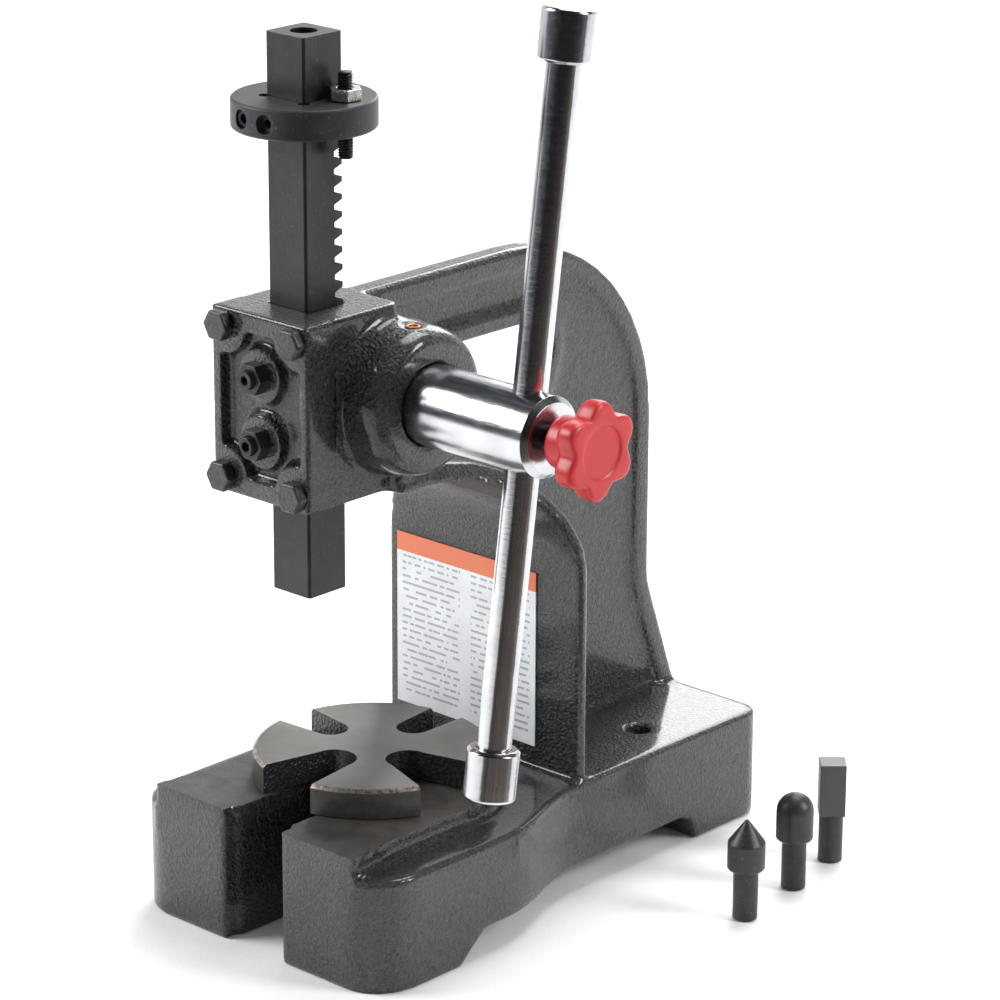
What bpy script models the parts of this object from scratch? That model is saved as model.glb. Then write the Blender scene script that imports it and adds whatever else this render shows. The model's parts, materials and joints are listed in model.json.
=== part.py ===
"""Bench arbor press: a slotted iron frame, a square rack ram, its pinion, hub and sliding handle.

Sizes are metres. The press is modelled about its ram: the ram's axis is x = y = 0, the bench is
z = 0, the front is -Y and the handle is on +X. One empty then moves the whole press, so that the
scene's origin is the bottom centre of its bounding box.
"""

import math

import bmesh
import bpy
import numpy as np
from mathutils import Matrix, Vector

GAP = 0.0003
BIG = 0.3

# Ram and rack
RAM_SIDE = 0.0235
RAM_BOTTOM, RAM_TOP = 0.1657, 0.4185
RAM_EDGE = 0.001
BORE_RADIUS = 0.006
TOOL_BORE_DEPTH, TOP_BORE_DEPTH = 0.030, 0.012
MODULE = 0.0025
PITCH = math.pi * MODULE
PRESSURE = math.tan(math.radians(20))
BACKLASH, TOOTH_CLEARANCE = 0.0002, 0.00015
RACK_TIP = RAM_SIDE / 2
RACK_PITCH_LINE = RACK_TIP - MODULE
RACK_ROOT = RACK_PITCH_LINE - 1.25 * MODULE
FIRST_GAP_Z = 0.3651
GAPS = 19

# Pinion shaft: teeth, hub and tail in one piece along X
TEETH = 12
PINION_RADIUS = TEETH * MODULE / 2
PINION_TIP = PINION_RADIUS + MODULE - 0.0001
AXIS_Y = RACK_PITCH_LINE + PINION_RADIUS
AXIS_Z = 0.2568
HUB_RADIUS, HUB_END, HUB_CHAMFER = 0.0182, 0.1235, 0.0025
TAIL_RADIUS, TAIL_END = 0.010, -0.0386
HUB_START = RAM_SIDE / 2 + 0.0005

# Handle
HANDLE_X = 0.1083
HANDLE_TILT = math.radians(7.95)
BAR_RADIUS = 0.00765
CAP_RADIUS, CAP_LENGTH, CAP_WALL, CAP_EDGE = 0.0118, 0.0232, 0.0025, 0.0014
HANDLE_UP, HANDLE_DOWN = 0.1818, 0.1642

# Clamp knob
STUD_RADIUS = 0.005
KNOB_START, KNOB_BACK, KNOB_END = 0.1285, 0.1390, 0.1518
KNOB_NECK, KNOB_RADIUS, KNOB_WAVE, LOBES = 0.0119, 0.0195, 0.0025, 6

# Head
HEAD_HALF = 0.0293
HEAD_LOW, HEAD_HIGH = 0.2128, 0.2977
HEAD_MIDDLE = (HEAD_LOW + HEAD_HIGH) / 2
SEAM_Y, HEAD_REAR = -RAM_SIDE / 2 - GAP, 0.0287
HOUSING = ((0, 0.0533), (0.0290, 0.0533), (0.0320, 0.0510), (0.0338, 0.0460), (0.0347, HEAD_HALF),
           (0.0340, HEAD_HALF - 0.0008), (0.0340, -0.0303), (0.0225, -0.0303),
           (0.0220, -0.0380), (0, -0.0380))

# Front cover, its bolts, the gib and the gib screws
COVER_FRONT = -0.0293
PANEL_DEPTH, PANEL_HALF, PANEL_RISE, PAD_RADIUS = 0.0050, 0.0245, 0.0333, 0.0135
SCREW_RADIUS, NUT_FLATS, NUT_HEIGHT = 0.004, 0.013, 0.0062
BOLT_X, BOLT_RISE, BOLT_HEAD = 0.0222, 0.0346, 0.0053
BOLT_ROWS = (HEAD_MIDDLE - BOLT_RISE, HEAD_MIDDLE + BOLT_RISE)
BOLT_TIP_Y = 0.006
GIB_SCREW_ROWS = {"lower": HEAD_MIDDLE - 0.015, "upper": HEAD_MIDDLE + 0.015}
GIB_BOSS_RADIUS = 0.0125
GIB_HALF, GIB_LOW, GIB_HIGH = 0.0090, 0.2190, 0.2915
GIB_FRONT, GIB_REAR = SEAM_Y - 0.0037, SEAM_Y
GIB_SCREW_END = -0.0383
SOCKET_RADIUS, SOCKET_DEPTH = 0.0023, 0.003

# Stop collar
COLLAR_LOW, COLLAR_HIGH, COLLAR_RADIUS = 0.3768, 0.3903, 0.0320
RELIEF_RADIUS = 0.0027
COLLAR_SCREW_X, COLLAR_SCREW_OUT, COLLAR_SCREW_IN = 0.0072, -0.0290, SEAM_Y
STOP_X, STOP_Y, STOP_RADIUS, STOP_NUT_HEIGHT = 0.0191, 0.0058, 0.0034, 0.0050
STOP_LOW, STOP_HIGH, STOP_NUT_TURN = 0.3648, 0.4027, 52

# Base
BASE_FRONT, BASE_REAR = -0.0385, 0.2465
BASE_WIDE, BASE_NARROW = 0.0805, 0.0630
FLARE_START, FLARE_END = 0.044, 0.114
BASE_TOP, TABLE_TOP = 0.0544, 0.0638
SLOT_HALF, SLOT_MOUTH_HALF, SLOT_END_Y, MOUTH_DEPTH = 0.0160, 0.0184, 0.032, 0.0083
MOUNT_HOLE_X, MOUNT_HOLE_Y, MOUNT_HOLE_RADIUS = 0.0365, 0.1842, 0.006
ARCH_HEIGHT = 0.0134

# Column and arm
FLANGE_Y, FLANGE_THICK, FLANGE_HALF = 0.1135, 0.006, 0.0615
THROAT_Y, THROAT_Z, THROAT_TOP, THROAT_THICK = 0.039, 0.160, 0.212, 0.008
ARM_TOP, ARM_CENTRE_Y, ARM_CENTRE_Z, ARM_RADIUS = 0.2975, 0.126, 0.1985, 0.0992
KNEE_Z, KNEE_RADIUS, KNEE_TURN = 0.120, 0.040, 20
RIM_BAND, RIM_HALF, WEB_HALF = 0.0097, 0.0065, 0.00435
WINDOW = ((0.076, 0.2340), (0.1314, 0.2292), (0.1388, 0.2468), (0.076, 0.2468))
WINDOW_RADIUS, BEAD_RADIUS, BEAD_HALF = 0.014, 0.023, 0.0070

# Anvil plate: angle in degrees, half width at the mouth, end radius and its distance from the centre
PLATE_Y, PLATE_RADIUS, PLATE_THICK, PLATE_CHAMFER = 0.039, 0.055, 0.0140, 0.0016
PLATE_SLOTS = ((-93, 0.0165, 0.0104, 0.0235), (-2, 0.0200, 0.0104, 0.0240),
               (93, 0.0095, 0.0080, 0.0290), (177, 0.0105, 0.0080, 0.0282))

# Label, oiler and nose tools
LABEL_LOW, LABEL_HIGH, LABEL_THICK = (-0.0552, 0.0650), (0.0341, 0.1512), 0.0005
OILER_X, OILER_RADIUS, OILER_BORE, OILER_LOW, OILER_TOP = 0.0412, 0.0034, 0.0021, 0.2822, 0.2904
BALL_RADIUS = 0.0017
TOOL_SHANK, TOOL_HEAD, DOME_Z = 0.00585, 0.0088, 0.0388
BLADE_HALF, BLADE_LOW, BLADE_HIGH, BLADE_TURN = 0.0062, 0.0240, 0.0502, math.radians(43)
TOOL_PLACES = {"cone": (0.1387, 0.1431), "round": (0.1330, 0.1856), "flat": (0.1252, 0.2232)}

# The bounding box runs from the base's left side to the knob, and from the base's front to its rear
CENTRE_X = (KNOB_END - BASE_WIDE) / 2
CENTRE_Y = (BASE_FRONT + BASE_REAR) / 2

PLANES = {"x": ((0, 1, 0), (0, 0, 1)), "y": ((1, 0, 0), (0, 0, 1)), "z": ((1, 0, 0), (0, 1, 0))}
HUB = Vector((HANDLE_X, AXIS_Y, AXIS_Z))
UP_THE_HANDLE = Vector((0, math.sin(HANDLE_TILT), math.cos(HANDLE_TILT)))


# Scene ----------------------------------------------------------------------------------------


def clear_scene():
    for obj in list(bpy.data.objects):
        bpy.data.objects.remove(obj, do_unlink=True)


def new_collection(name):
    collection = bpy.data.collections.new(name)
    bpy.context.scene.collection.children.link(collection)
    return collection


def new_material(name, colour, roughness, metallic):
    material = bpy.data.materials.new(name)
    material.use_nodes = True
    shader = material.node_tree.nodes["Principled BSDF"]
    shader.inputs["Base Color"].default_value = (*colour, 1)
    shader.inputs["Roughness"].default_value = roughness
    shader.inputs["Metallic"].default_value = metallic
    material.diffuse_color = (*colour, 1)
    return material


clear_scene()
PARTS = new_collection("arbor_press")
TOOLS = new_collection("cutters")
PRESS = bpy.data.objects.new("press_origin", None)
PRESS.location = (-CENTRE_X, -CENTRE_Y, 0)
PARTS.objects.link(PRESS)


def add_shape(name, mesh):
    """A hidden shape that a part is cut with or joined from, until it is made a part itself."""
    obj = bpy.data.objects.new(name, mesh)
    TOOLS.objects.link(obj)
    obj.parent = PRESS
    obj.hide_render = True
    obj.display_type = "WIRE"
    return obj


def make_part(obj, material, origin=(0, 0, 0)):
    """Shows the shape as a part, with its own origin at the given point of the press."""
    name = obj.name
    obj.data.transform(Matrix.Translation(obj.location - Vector(origin)))
    obj.location = origin
    obj.data.materials.append(material)
    obj.data.shade_smooth()
    obj.data.set_sharp_from_angle(angle=math.radians(35))
    obj.hide_render = False
    obj.display_type = "TEXTURED"
    TOOLS.objects.unlink(obj)
    PARTS.objects.link(obj)
    obj.data.name = name
    return obj


def boolean(obj, operation, shapes):
    for shape in shapes:
        modifier = obj.modifiers.new(shape.name, "BOOLEAN")
        modifier.operation = operation
        modifier.object = shape
    return obj


def cut(obj, *shapes):
    return boolean(obj, "DIFFERENCE", shapes)


def join(obj, *shapes):
    return boolean(obj, "UNION", shapes)


# Shapes ---------------------------------------------------------------------------------------


def mesh_from(name, bm):
    bmesh.ops.recalc_face_normals(bm, faces=bm.faces)
    mesh = bpy.data.meshes.new(name)
    bm.to_mesh(mesh)
    bm.free()
    return mesh


def box(name, low, high):
    bm = bmesh.new()
    bmesh.ops.create_cube(bm, size=1)
    low, high = Vector(low), Vector(high)
    bmesh.ops.scale(bm, vec=high - low, verts=bm.verts)
    bmesh.ops.translate(bm, vec=(low + high) / 2, verts=bm.verts)
    return add_shape(name, mesh_from(name, bm))


def pointing(direction):
    return Vector(direction).to_track_quat("Z", "Y").to_matrix().to_4x4()


def rod(name, radius, start, end, segments=24, end_radius=None):
    """A cylinder or cone from start to end."""
    start, end = Vector(start), Vector(end)
    bm = bmesh.new()
    bmesh.ops.create_cone(bm, cap_ends=True, segments=segments, radius1=radius, depth=(end - start).length,
                          radius2=radius if end_radius is None else end_radius)
    place = Matrix.Translation((start + end) / 2) @ pointing(end - start)
    bmesh.ops.transform(bm, matrix=place, verts=bm.verts)
    return add_shape(name, mesh_from(name, bm))


def ball(name, radius, centre, segments=16):
    bm = bmesh.new()
    bmesh.ops.create_uvsphere(bm, u_segments=segments, v_segments=segments // 2, radius=radius)
    bmesh.ops.translate(bm, vec=centre, verts=bm.verts)
    return add_shape(name, mesh_from(name, bm))


def evaluated_mesh(obj):
    """The object's final mesh, welded, in place of the object."""
    bpy.context.view_layer.update()
    graph = bpy.context.evaluated_depsgraph_get()
    bm = bmesh.new()
    bm.from_mesh(bpy.data.meshes.new_from_object(obj.evaluated_get(graph)))
    bm.transform(obj.matrix_basis)
    bmesh.ops.remove_doubles(bm, verts=bm.verts, dist=1e-6)
    name = obj.name
    bpy.data.objects.remove(obj)
    return mesh_from(name, bm)


def turned(name, profile, start, direction, steps=32):
    """Turns a profile of (radius, distance) pairs about the line from start along direction.

    The profile runs down its outer side, from the far end to the near one.
    """
    bm = bmesh.new()
    points = [bm.verts.new((radius, 0, distance)) for radius, distance in profile]
    for first, second in zip(points, points[1:]):
        bm.edges.new((first, second))
    mesh = bpy.data.meshes.new(name)
    bm.to_mesh(mesh)
    bm.free()
    obj = bpy.data.objects.new(name, mesh)
    TOOLS.objects.link(obj)
    obj.matrix_basis = Matrix.Translation(start) @ pointing(direction)
    screw = obj.modifiers.new("turn", "SCREW")
    screw.steps = screw.render_steps = steps
    screw.use_merge_vertices = True
    screw.merge_threshold = 1e-5
    return add_shape(name, evaluated_mesh(obj))


def prism(name, outline, low, high, axis):
    """Extrudes a flat outline from low to high along an axis."""
    curve = bpy.data.curves.new(name, "CURVE")
    curve.dimensions = "2D"
    curve.fill_mode = "BOTH"
    curve.extrude = (high - low) / 2
    spline = curve.splines.new("POLY")
    spline.points.add(len(outline) - 1)
    for point, (u, v) in zip(spline.points, outline):
        point.co = (u, v, 0, 1)
    spline.use_cyclic_u = True
    obj = bpy.data.objects.new(name, curve)
    TOOLS.objects.link(obj)
    across, along = (Vector(vector) for vector in PLANES[axis])
    obj.matrix_basis = Matrix((across, along, across.cross(along))).transposed().to_4x4()
    obj.matrix_basis.translation = Vector([float(axis == letter) for letter in "xyz"]) * (low + high) / 2
    return add_shape(name, evaluated_mesh(obj))


def arc(centre, radius, start, end, steps):
    """Points on an arc, or on an ellipse if radius is a pair; angles in degrees."""
    wide, high = radius if isinstance(radius, tuple) else (radius, radius)
    angles = np.radians(np.linspace(start, end, steps + 1))
    return [(centre[0] + wide * math.cos(a), centre[1] + high * math.sin(a)) for a in angles]


def hull(centres, radius, steps=6):
    """The outline round equal circles at these centres, which run anticlockwise."""
    outline = []
    for before, here, after in zip(centres[-1:] + centres[:-1], centres, centres[1:] + centres[:1]):
        start = math.degrees(math.atan2(here[1] - before[1], here[0] - before[0])) - 90
        end = math.degrees(math.atan2(after[1] - here[1], after[0] - here[0])) - 90
        outline += arc(here, radius, start, start + (end - start) % 360, steps)
    return outline


def mirrored(half):
    """Closes an outline across u = 0 from its right half."""
    return half + [(-u, v) for u, v in reversed(half)]


def hexagon(name, flats, start, end, turn=0):
    """A hexagonal prism with a flat distance across, turned about its own axis."""
    shape = rod(name, flats / math.sqrt(3), (0, 0, 0), (0, 0, (Vector(end) - Vector(start)).length), 6)
    place = pointing(Vector(end) - Vector(start)) @ Matrix.Rotation(math.radians(turn), 4, "Z")
    shape.data.transform(Matrix.Translation(start) @ place)
    return shape


# Frame casting --------------------------------------------------------------------------------


def base_outline():
    half = arc((BASE_WIDE - 0.023, BASE_FRONT + 0.023), 0.023, -90, 0, 8)
    for step in range(9):
        share = step / 8
        wide = BASE_NARROW + (BASE_WIDE - BASE_NARROW) * (1 + math.cos(math.pi * share)) / 2
        half.append((wide, FLARE_START + (FLARE_END - FLARE_START) * share))
    half += arc((BASE_NARROW - 0.010, BASE_REAR - 0.010), 0.010, 0, 90, 4)
    return mirrored(half)


def column_side(inset, bottom):
    """The column's rear line from the arm's top to the base, moved in by inset."""
    outer = ARM_CENTRE_Y + ARM_RADIUS
    line = arc((ARM_CENTRE_Y, ARM_CENTRE_Z), ARM_RADIUS - inset, 90, 0, 12)
    knee = arc((outer + KNEE_RADIUS, KNEE_Z), KNEE_RADIUS + inset, 180, 180 + KNEE_TURN, 3)
    y, z = knee[-1]
    return line + knee + [(y + (z - bottom) * math.tan(math.radians(KNEE_TURN)), bottom)]


def throat_line(offset, start=0, end=90):
    """The inner line of the C: up the column's front and forward to the head."""
    size = (FLANGE_Y - THROAT_Y + offset, THROAT_TOP - THROAT_Z + offset * THROAT_THICK / FLANGE_THICK)
    return arc((THROAT_Y, THROAT_Z), size, start, end, 8)


def casting_base():
    base = prism("base_block", base_outline(), 0, BASE_TOP, "z")
    bevel = base.modifiers.new("edges", "BEVEL")
    bevel.width = 0.002
    bevel.segments = 2
    bevel.limit_method = "ANGLE"
    bevel.angle_limit = math.radians(60)
    front = BASE_FRONT + 0.0002
    table = [(0.0640, front), (0.0605, -0.012)] + arc((0, PLATE_Y), 0.0605, 0, 90, 10)
    arch = [(0.0145, -0.01), (0.0145, 0), (0.030, ARCH_HEIGHT), (0.187, ARCH_HEIGHT),
            (0.194, 0.0105), (0.1976, 0), (0.1976, -0.01)]
    return base, prism("table", mirrored(table), 0.040, TABLE_TOP, "z"), [
        prism("arch", arch, -BIG, BIG, "x"),
        prism("slot", hull([(0, -0.2), (0, SLOT_END_Y)], SLOT_HALF, 10), -0.01, 0.1, "z"),
        box("slot_mouth", (-SLOT_MOUTH_HALF, -0.1, -0.01), (SLOT_MOUTH_HALF, BASE_FRONT + MOUTH_DEPTH, 0.1)),
    ] + [
        rod(f"mount_hole_{side}", MOUNT_HOLE_RADIUS, (side * MOUNT_HOLE_X, MOUNT_HOLE_Y, -0.01),
            (side * MOUNT_HOLE_X, MOUNT_HOLE_Y, 0.1)) for side in (-1, 1)
    ]


def casting_column():
    strip = throat_line(0) + [(0.020, THROAT_TOP), (0.020, THROAT_TOP + THROAT_THICK)]
    strip += throat_line(FLANGE_THICK, 90, 0) + [(FLANGE_Y + FLANGE_THICK, 0.045), (FLANGE_Y, 0.045)]
    flange = prism("flange", strip, -FLANGE_HALF, FLANGE_HALF, "x")
    narrow, start, rise = 0.036, 0.150, 0.065
    front = [(FLANGE_HALF, 0.03)]
    for step in range(9):
        wide = narrow + (FLANGE_HALF - narrow) * math.cos(math.pi / 2 * step / 8)
        front.append((wide, start + rise * step / 8))
    boolean(flange, "INTERSECT", [prism("flange_front", mirrored(front + [(narrow, 0.24)]), -BIG, BIG, "y")])

    inner = throat_line(FLANGE_THICK / 2)
    web = column_side(0.004, 0.045) + [(inner[0][0], 0.045)] + inner + [(0.020, 0.216), (0.020, 0.2935)]
    rim = column_side(0, BASE_TOP) + [(BASE_REAR - 0.0008, 0.046), (0.2385, 0.046)]
    rim += column_side(RIM_BAND, BASE_TOP)[::-1] + [(0.020, ARM_TOP - RIM_BAND), (0.020, ARM_TOP)]
    return [
        flange,
        prism("web", web, -WEB_HALF, WEB_HALF, "x"),
        prism("rim", rim, -RIM_HALF, RIM_HALF, "x"),
        prism("window_bead", hull(list(WINDOW), BEAD_RADIUS), -BEAD_HALF, BEAD_HALF, "x"),
    ], [prism("window", hull(list(WINDOW), WINDOW_RADIUS), -0.05, 0.05, "x")]


def casting_head():
    half = [(HEAD_HALF, SEAM_Y)] + arc((HEAD_HALF - 0.004, HEAD_REAR - 0.004), 0.004, 0, 90, 4)
    head = prism("head", mirrored(half), HEAD_LOW, HEAD_HIGH, "z")
    axis = (AXIS_Y, AXIS_Z)
    solids = [
        head,
        turned("housing", HOUSING, (0, *axis), (1, 0, 0), 40),
    ]
    hub, tail, half_slot = HUB_RADIUS + GAP, TAIL_RADIUS + GAP, RAM_SIDE / 2 + GAP
    step = -half_slot - 0.0012
    bore = [(0, 0.08), (hub, 0.08), (hub, step), (tail, step), (tail, -0.06), (0, -0.06)]
    hole = SCREW_RADIUS + GAP
    cutters = [
        box("ram_slot", (-half_slot, -0.1, 0.15), (half_slot, half_slot, 0.35)),
        turned("pinion_bore", bore, (0, *axis), (1, 0, 0), 52),
        rod("oiler_hole", OILER_RADIUS + GAP, (OILER_X, AXIS_Y, OILER_LOW - GAP), (OILER_X, AXIS_Y, 0.32),
            16),
    ] + [
        rod(f"bolt_hole_{x}_{z:.3f}", hole, (x, -0.05, z), (x, BOLT_TIP_Y + GAP, z), 16)
        for x in (-BOLT_X, BOLT_X) for z in BOLT_ROWS
    ]
    return solids, cutters


def make_frame_casting(paint):
    base, table, base_cutters = casting_base()
    column, column_cutters = casting_column()
    head, head_cutters = casting_head()
    base.name = "frame_casting"
    join(base, table, *column, *head)
    cut(base, *base_cutters, *column_cutters, *head_cutters)
    make_part(base, paint)


# Front of the head ----------------------------------------------------------------------------


def make_cover(paint):
    rows = GIB_SCREW_ROWS.values()
    cover = box("front_cover_plate", (-HEAD_HALF, COVER_FRONT, HEAD_LOW),
                (HEAD_HALF, SEAM_Y - GAP, HEAD_HIGH))
    side = math.degrees(math.acos((PANEL_HALF - BOLT_X) / PAD_RADIUS))
    top = 180 - math.degrees(math.asin((BOLT_RISE - PANEL_RISE) / PAD_RADIUS))
    corner = arc((BOLT_X, BOLT_RISE), PAD_RADIUS, -side, -top, 8)
    half = [(u, -v) for u, v in reversed(corner)] + corner
    panel = [(u, HEAD_MIDDLE + v) for u, v in mirrored(half)]
    recess = prism("panel", panel, -0.05, COVER_FRONT + PANEL_DEPTH, "y")
    cut(recess, *[rod(f"gib_boss_{z:.3f}", GIB_BOSS_RADIUS, (0, -0.06, z), (0, 0, z), 32) for z in rows])
    pocket = box("gib_pocket", (-GIB_HALF - GAP, GIB_FRONT - GAP, GIB_LOW - GAP),
                 (GIB_HALF + GAP, 0, GIB_HIGH + GAP))
    hole = SCREW_RADIUS + GAP
    holes = [rod(f"gib_hole_{z:.3f}", hole, (0, -0.06, z), (0, 0, z), 16) for z in rows]
    holes += [rod(f"cover_hole_{side}_{z:.3f}", hole, (side * BOLT_X, -0.06, z), (side * BOLT_X, 0, z), 16)
              for side in (-1, 1) for z in BOLT_ROWS]
    make_part(cut(cover, recess, pocket, *holes), paint)


def make_fasteners(steel, paint):
    face = COVER_FRONT - GAP
    places = [(side * BOLT_X, z) for z in BOLT_ROWS for side in (-1, 1)]
    for number, (x, z) in enumerate(places, 1):
        bolt = hexagon(f"cover_bolt_{number}", NUT_FLATS, (x, face, z), (x, face - BOLT_HEAD, z), 30)
        shank = rod(f"bolt_shank_{number}", SCREW_RADIUS, (x, face - 0.001, z), (x, BOLT_TIP_Y, z), 16)
        make_part(join(bolt, shank), paint, (x, face, z))
    for row, z in GIB_SCREW_ROWS.items():
        nut = hexagon(f"gib_lock_nut_{row}", NUT_FLATS, (0, face, z), (0, face - NUT_HEIGHT, z), 30)
        cut(nut, rod(f"nut_bore_{row}", SCREW_RADIUS + GAP, (0, 0, z), (0, -0.06, z), 16))
        make_part(nut, steel, (0, face, z))
        screw = rod(f"gib_screw_{row}", SCREW_RADIUS, (0, GIB_FRONT - GAP, z), (0, GIB_SCREW_END, z), 16)
        cut(screw, rod(f"gib_socket_{row}", SOCKET_RADIUS, (0, GIB_SCREW_END + SOCKET_DEPTH, z),
                       (0, -0.06, z), 6))
        make_part(screw, steel, (0, GIB_SCREW_END, z))
    gib = box("gib", (-GIB_HALF, GIB_FRONT, GIB_LOW), (GIB_HALF, GIB_REAR, GIB_HIGH))
    make_part(gib, steel)


# Ram, collar and depth stop -------------------------------------------------------------------


def rack_gaps():
    """The outline of everything between the teeth, joined behind the ram."""
    def half_gap(y):
        return PITCH / 4 + BACKLASH + (y - RACK_PITCH_LINE) * PRESSURE

    outside = RACK_TIP + 0.001
    comb = [(0.016, FIRST_GAP_Z + PITCH)]
    for number in range(GAPS):
        z = FIRST_GAP_Z - number * PITCH
        comb += [(outside, z + half_gap(outside)), (RACK_ROOT, z + half_gap(RACK_ROOT)),
                 (RACK_ROOT, z - half_gap(RACK_ROOT)), (outside, z - half_gap(outside))]
    return comb + [(0.016, FIRST_GAP_Z - GAPS * PITCH)]


def make_ram(steel):
    half = RAM_SIDE / 2 - RAM_EDGE
    square = [(sx * half, sy * half) for sx, sy in ((-1, -1), (1, -1), (1, 1), (-1, 1))]
    ram = prism("ram", hull(square, RAM_EDGE, 1), RAM_BOTTOM, RAM_TOP, "z")
    cut(ram, prism("rack_gaps", rack_gaps(), -0.02, 0.02, "x"),
        rod("tool_bore", BORE_RADIUS, (0, 0, RAM_BOTTOM - 0.01), (0, 0, RAM_BOTTOM + TOOL_BORE_DEPTH)),
        rod("top_bore", BORE_RADIUS, (0, 0, RAM_TOP - TOP_BORE_DEPTH), (0, 0, RAM_TOP + 0.01)))
    make_part(ram, steel)


def make_collar(steel, bright):
    edge = 0.0008
    profile = [(0, COLLAR_HIGH), (COLLAR_RADIUS - edge, COLLAR_HIGH), (COLLAR_RADIUS, COLLAR_HIGH - edge),
               (COLLAR_RADIUS, COLLAR_LOW + edge), (COLLAR_RADIUS - edge, COLLAR_LOW), (0, COLLAR_LOW)]
    collar = turned("stop_collar", profile, (0, 0, 0), (0, 0, 1), 56)
    half, middle = RAM_SIDE / 2 + GAP, (COLLAR_LOW + COLLAR_HIGH) / 2
    cut(collar, box("collar_square", (-half, -half, 0.3), (half, half, 0.45)),
        *[rod(f"relief_{x}_{y}", RELIEF_RADIUS, (x, y, 0.3), (x, y, 0.45), 16)
          for x in (-half, half) for y in (-half, half)],
        rod("stop_hole", STOP_RADIUS + GAP, (STOP_X, STOP_Y, 0.3), (STOP_X, STOP_Y, 0.45), 16),
        *[rod(f"collar_hole_{side}", SCREW_RADIUS + GAP, (side * COLLAR_SCREW_X, -0.05, middle),
              (side * COLLAR_SCREW_X, 0, middle), 16) for side in (-1, 1)])
    make_part(collar, steel)
    for number, side in enumerate((-1, 1), 1):
        x = side * COLLAR_SCREW_X
        screw = rod(f"collar_set_screw_{number}", SCREW_RADIUS, (x, COLLAR_SCREW_IN, middle),
                    (x, COLLAR_SCREW_OUT, middle), 16)
        cut(screw, rod(f"collar_socket_{number}", SOCKET_RADIUS, (x, COLLAR_SCREW_OUT + SOCKET_DEPTH, middle),
                       (x, -0.05, middle), 6))
        make_part(screw, steel, (x, COLLAR_SCREW_OUT, middle))
    profile = [(0, STOP_HIGH), (STOP_RADIUS - edge, STOP_HIGH), (STOP_RADIUS, STOP_HIGH - edge),
               (STOP_RADIUS, STOP_LOW + edge), (STOP_RADIUS - edge, STOP_LOW), (0, STOP_LOW)]
    stop = turned("stop_stud", profile, (STOP_X, STOP_Y, 0), (0, 0, 1), 16)
    make_part(stop, steel, (STOP_X, STOP_Y, STOP_LOW))
    nut_low = COLLAR_HIGH + GAP
    nut = hexagon("stop_nut", NUT_FLATS, (STOP_X, STOP_Y, nut_low),
                  (STOP_X, STOP_Y, nut_low + STOP_NUT_HEIGHT), STOP_NUT_TURN)
    cut(nut, rod("stop_nut_bore", STOP_RADIUS + GAP, (STOP_X, STOP_Y, 0.3), (STOP_X, STOP_Y, 0.45), 16))
    make_part(nut, bright, (STOP_X, STOP_Y, nut_low))


# Pinion shaft, handle and knob ----------------------------------------------------------------


def pinion_outline(samples=16):
    """The pinion's outline in (y, z), generated by rolling the rack round it.

    Each ray from the axis keeps the longest length that the rack never reaches while it rolls past.
    """
    reach = np.linspace(0.4 * PINION_RADIUS, PINION_TIP, 120)[:, None]
    turn = np.radians(np.linspace(-60, 60, 161))[None, :]
    tooth = []
    for ray in (np.arange(samples) / samples - 0.5) * 2 * math.pi / TEETH:
        towards = reach * np.cos(ray + turn)
        along = reach * np.sin(ray + turn) - PINION_RADIUS * turn
        along = np.abs((along + PITCH / 2) % PITCH - PITCH / 2)
        face = PINION_RADIUS + (PITCH / 4 + BACKLASH - along) / PRESSURE
        face = np.clip(face, PINION_RADIUS - MODULE, PINION_RADIUS + 1.25 * MODULE)
        clear = (towards < face).all(axis=1)
        longest = reach[clear.argmin() - 1 if not clear.all() else -1, 0]
        tooth.append((ray, longest - TOOTH_CLEARANCE))
    # At rest a gap lies beside the axis, off centre by this much along the rack.
    offset = (FIRST_GAP_Z - AXIS_Z + PITCH / 2) % PITCH - PITCH / 2
    phase = math.pi - offset / PINION_RADIUS
    return [(AXIS_Y + length * math.cos(phase + ray + 2 * math.pi * number / TEETH),
             AXIS_Z + length * math.sin(phase + ray + 2 * math.pi * number / TEETH))
            for number in range(TEETH) for ray, length in tooth]


def make_pinion_shaft(chrome, steel):
    profile = [(0, HUB_END), (HUB_RADIUS - HUB_CHAMFER, HUB_END), (HUB_RADIUS, HUB_END - HUB_CHAMFER),
               (HUB_RADIUS, HUB_START), (TAIL_RADIUS, HUB_START), (TAIL_RADIUS, TAIL_END), (0, TAIL_END)]
    axis = (AXIS_Y, AXIS_Z)
    shaft = turned("pinion_shaft", profile, (0, *axis), (1, 0, 0), 48)
    join(shaft, prism("pinion_teeth", pinion_outline(), -RAM_SIDE / 2, HUB_START + 0.001, "x"))
    reach = 0.03 * UP_THE_HANDLE
    cut(shaft, rod("handle_hole", BAR_RADIUS + GAP, HUB - reach, HUB + reach),
        rod("stud_hole", STUD_RADIUS + GAP, HUB, (HUB_END + 0.01, *axis), 20),
        rod("tail_hole", 0.0033, (TAIL_END - 0.01, *axis), (TAIL_END + 0.014, *axis), 16))
    make_part(shaft, chrome, (0, *axis))

    washer = rod("shaft_end_washer", 0.013, (TAIL_END - GAP, *axis), (TAIL_END - GAP - 0.0025, *axis))
    cut(washer, rod("washer_hole", 0.0033, (0, *axis), (-0.06, *axis), 16))
    make_part(washer, steel, (TAIL_END - GAP, *axis))
    under_head = TAIL_END - 2 * GAP - 0.0025
    screw = hexagon("shaft_end_screw", 0.010, (under_head, *axis), (under_head - 0.004, *axis))
    join(screw, rod("end_screw_shank", 0.003, (under_head - 0.001, *axis), (TAIL_END + 0.0137, *axis), 16))
    make_part(screw, steel, (under_head, *axis))


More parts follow.
